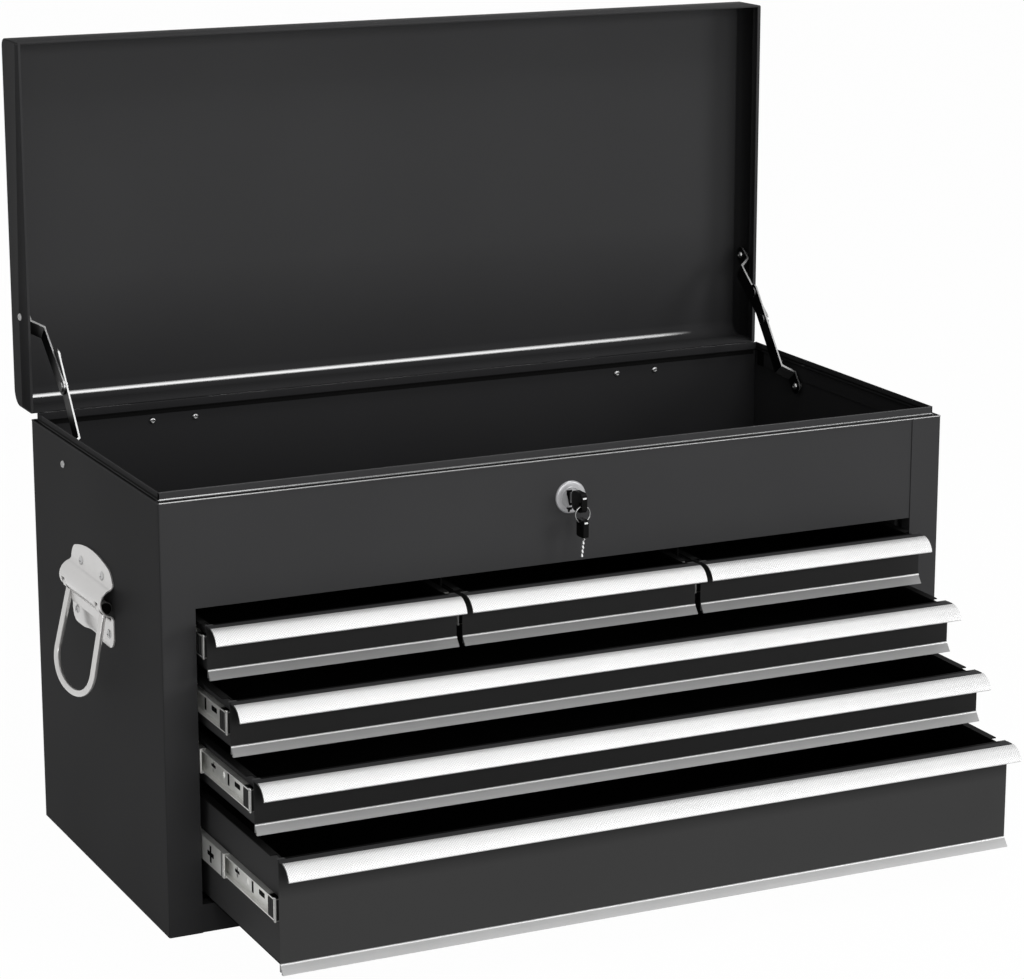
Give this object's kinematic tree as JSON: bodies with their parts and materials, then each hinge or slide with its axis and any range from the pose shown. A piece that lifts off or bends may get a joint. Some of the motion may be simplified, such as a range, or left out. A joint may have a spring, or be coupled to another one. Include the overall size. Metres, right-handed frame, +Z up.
{
  "type": "tool chest",
  "caption": "Sheet-steel top chest with a lift-up lid over an open till, drawers on telescopic slides with full-width pull strips, side bail handles and a key lock.",
  "frame": {"origin": "centre of the underside of the cabinet", "axes": "+X to the right seen from the front, +Y to the back, +Z up; the front faces -Y"},
  "size_m": [0.6416, 0.4677, 0.573],
  "materials": {
    "charcoal_paint": "semi-gloss powder coat",
    "zinc_steel": "bright zinc plated",
    "stay_steel": "dark plated",
    "rivet_steel": "dark plated",
    "brushed_aluminium": "brushed",
    "satin_trim": "satin",
    "bright_nickel": "bright nickel plated",
    "lock_chrome": "polished chrome",
    "key_metal": "nickel plated",
    "key_plastic": "smooth"
  },
  "bodies": {
    "chest": {"cabinet_shell": "charcoal_paint", "front_fascia": "charcoal_paint", "bottom_panel": "charcoal_paint", "till_floor": "charcoal_paint", "drawer_dividers": "charcoal_paint", "slide_posts": "charcoal_paint", "slide_outer_members": "zinc_steel", "top_rim": "charcoal_paint", "hinge_body_leaves_and_pins": "charcoal_paint", "wall_rivets": "rivet_steel", "handle_brackets": "bright_nickel", "handle_screws": "bright_nickel", "lock_housing": "lock_chrome", "lock_nut": "zinc_steel"},
    "lid": {"lid_shell": "charcoal_paint", "hinge_lid_leaves": "charcoal_paint", "stay_lid_rivets": "rivet_steel"},
    "stay_lower_left": {"stay_lower_arm_left": "stay_steel"},
    "stay_upper_left": {"stay_upper_arm_left": "stay_steel"},
    "bail_left": {"handle_bail_left": "bright_nickel"},
    "stay_lower_right": {"stay_lower_arm_right": "stay_steel"},
    "stay_upper_right": {"stay_upper_arm_right": "stay_steel"},
    "bail_right": {"handle_bail_right": "bright_nickel"},
    "lock_core": {"lock_plug": "lock_chrome", "lock_cam": "zinc_steel"},
    "key": {"key_blade": "key_metal", "key_head": "key_plastic"},
    "ring": {"key_ring": "key_metal"},
    "spare_key": {"spare_key_blade": "key_metal", "spare_key_head": "key_plastic"},
    "top_left_drawer": {"top_left_drawer_tray": "charcoal_paint", "top_left_drawer_pull": "brushed_aluminium", "top_left_drawer_trim": "satin_trim", "top_left_drawer_inner_slides": "zinc_steel"},
    "top_left_drawer_middle": {"top_left_drawer_middle_slides": "zinc_steel"},
    "top_centre_drawer": {"top_centre_drawer_tray": "charcoal_paint", "top_centre_drawer_pull": "brushed_aluminium", "top_centre_drawer_trim": "satin_trim", "top_centre_drawer_inner_slides": "zinc_steel"},
    "top_centre_drawer_middle": {"top_centre_drawer_middle_slides": "zinc_steel"},
    "top_right_drawer": {"top_right_drawer_tray": "charcoal_paint", "top_right_drawer_pull": "brushed_aluminium", "top_right_drawer_trim": "satin_trim", "top_right_drawer_inner_slides": "zinc_steel"},
    "top_right_drawer_middle": {"top_right_drawer_middle_slides": "zinc_steel"},
    "second_drawer": {"second_drawer_tray": "charcoal_paint", "second_drawer_pull": "brushed_aluminium", "second_drawer_trim": "satin_trim", "second_drawer_inner_slides": "zinc_steel"},
    "second_drawer_middle": {"second_drawer_middle_slides": "zinc_steel"},
    "third_drawer": {"third_drawer_tray": "charcoal_paint", "third_drawer_pull": "brushed_aluminium", "third_drawer_trim": "satin_trim", "third_drawer_inner_slides": "zinc_steel"},
    "third_drawer_middle": {"third_drawer_middle_slides": "zinc_steel"},
    "bottom_drawer": {"bottom_drawer_tray": "charcoal_paint", "bottom_drawer_pull": "brushed_aluminium", "bottom_drawer_trim": "satin_trim", "bottom_drawer_inner_slides": "zinc_steel"},
    "bottom_drawer_middle": {"bottom_drawer_middle_slides": "zinc_steel"}
  },
  "joints": [
    {"name": "lid_hinge", "type": "hinge", "parent": "chest", "child": "lid", "pos_m": [0, 0.1385, 0.3031], "axis": [1, 0, 0], "range_deg": [0, 90]},
    {"name": "stay_lower_left", "type": "hinge", "parent": "chest", "child": "stay_lower_left", "pos_m": [-0.29, 0.064, 0.2845], "axis": [1, 0, 0], "range_deg": [0, 119.3]},
    {"name": "stay_upper_left", "type": "hinge", "parent": "lid", "child": "stay_upper_left", "pos_m": [-0.29, 0.154, 0.374], "axis": [1, 0, 0], "range_deg": [-106.14, 0]},
    {"name": "stay_lower_right", "type": "hinge", "parent": "chest", "child": "stay_lower_right", "pos_m": [0.29, 0.064, 0.2845], "axis": [1, 0, 0], "range_deg": [0, 119.3]},
    {"name": "stay_upper_right", "type": "hinge", "parent": "lid", "child": "stay_upper_right", "pos_m": [0.29, 0.154, 0.374], "axis": [1, 0, 0], "range_deg": [-106.14, 0]},
    {"name": "top_left_drawer_slide", "type": "slide", "parent": "chest", "child": "top_left_drawer", "axis": [0, -1, 0], "range_m": [-0.016, 0.184]},
    {"name": "top_left_drawer_middle_slide", "type": "slide", "parent": "chest", "child": "top_left_drawer_middle", "axis": [0, -1, 0], "range_m": [-0.0081, 0.0921]},
    {"name": "top_centre_drawer_slide", "type": "slide", "parent": "chest", "child": "top_centre_drawer", "axis": [0, -1, 0], "range_m": [-0.016, 0.184]},
    {"name": "top_centre_drawer_middle_slide", "type": "slide", "parent": "chest", "child": "top_centre_drawer_middle", "axis": [0, -1, 0], "range_m": [-0.0081, 0.0921]},
    {"name": "top_right_drawer_slide", "type": "slide", "parent": "chest", "child": "top_right_drawer", "axis": [0, -1, 0], "range_m": [-0.016, 0.184]},
    {"name": "top_right_drawer_middle_slide", "type": "slide", "parent": "chest", "child": "top_right_drawer_middle", "axis": [0, -1, 0], "range_m": [-0.0081, 0.0921]},
    {"name": "second_drawer_slide", "type": "slide", "parent": "chest", "child": "second_drawer", "axis": [0, -1, 0], "range_m": [-0.05667, 0.14333]},
    {"name": "second_drawer_middle_slide", "type": "slide", "parent": "chest", "child": "second_drawer_middle", "axis": [0, -1, 0], "range_m": [-0.02843, 0.07176]},
    {"name": "third_drawer_slide", "type": "slide", "parent": "chest", "child": "third_drawer", "axis": [0, -1, 0], "range_m": [-0.09734, 0.10266]},
    {"name": "third_drawer_middle_slide", "type": "slide", "parent": "chest", "child": "third_drawer_middle", "axis": [0, -1, 0], "range_m": [-0.04877, 0.05143]},
    {"name": "bottom_drawer_slide", "type": "slide", "parent": "chest", "child": "bottom_drawer", "axis": [0, -1, 0], "range_m": [-0.13801, 0.06199]},
    {"name": "bottom_drawer_middle_slide", "type": "slide", "parent": "chest", "child": "bottom_drawer_middle", "axis": [0, -1, 0], "range_m": [-0.0691, 0.0311]},
    {"name": "bail_left_swing", "type": "hinge", "parent": "chest", "child": "bail_left", "pos_m": [-0.3048, 0.0043, 0.205], "axis": [0, 1, 0], "range_deg": [0, 78]},
    {"name": "bail_right_swing", "type": "hinge", "parent": "chest", "child": "bail_right", "pos_m": [0.3048, 0.0043, 0.205], "axis": [0, -1, 0], "range_deg": [0, 78]},
    {"name": "lock_turn", "type": "hinge", "parent": "chest", "child": "lock_core", "pos_m": [0, -0.136, 0.2737], "axis": [0, -1, 0], "range_deg": [0, 90]},
    {"name": "key_withdraw", "type": "slide", "parent": "lock_core", "child": "key", "axis": [0, -1, 0], "range_m": [0, 0.03]},
    {"name": "ring_swing", "type": "hinge", "parent": "key", "child": "ring", "pos_m": [0, -0.1544, 0.27127], "axis": [1, 0, 0], "range_deg": [-20, 20]},
    {"name": "spare_key_swing", "type": "hinge", "parent": "ring", "child": "spare_key", "pos_m": [0, -0.1544, 0.26007], "axis": [1, 0, 0], "range_deg": [-20, 20]}
  ],
  "couplings": [
    {"joint": "stay_lower_left", "follows": "lid_hinge", "ratio": 1.325},
    {"joint": "stay_upper_left", "follows": "lid_hinge", "ratio": -1.1788},
    {"joint": "stay_lower_right", "follows": "lid_hinge", "ratio": 1.325},
    {"joint": "stay_upper_right", "follows": "lid_hinge", "ratio": -1.1788},
    {"joint": "top_left_drawer_middle_slide", "follows": "top_left_drawer_slide", "ratio": 0.5},
    {"joint": "top_centre_drawer_middle_slide", "follows": "top_centre_drawer_slide", "ratio": 0.5},
    {"joint": "top_right_drawer_middle_slide", "follows": "top_right_drawer_slide", "ratio": 0.5},
    {"joint": "second_drawer_middle_slide", "follows": "second_drawer_slide", "ratio": 0.5},
    {"joint": "third_drawer_middle_slide", "follows": "third_drawer_slide", "ratio": 0.5},
    {"joint": "bottom_drawer_middle_slide", "follows": "bottom_drawer_slide", "ratio": 0.5}
  ]
}
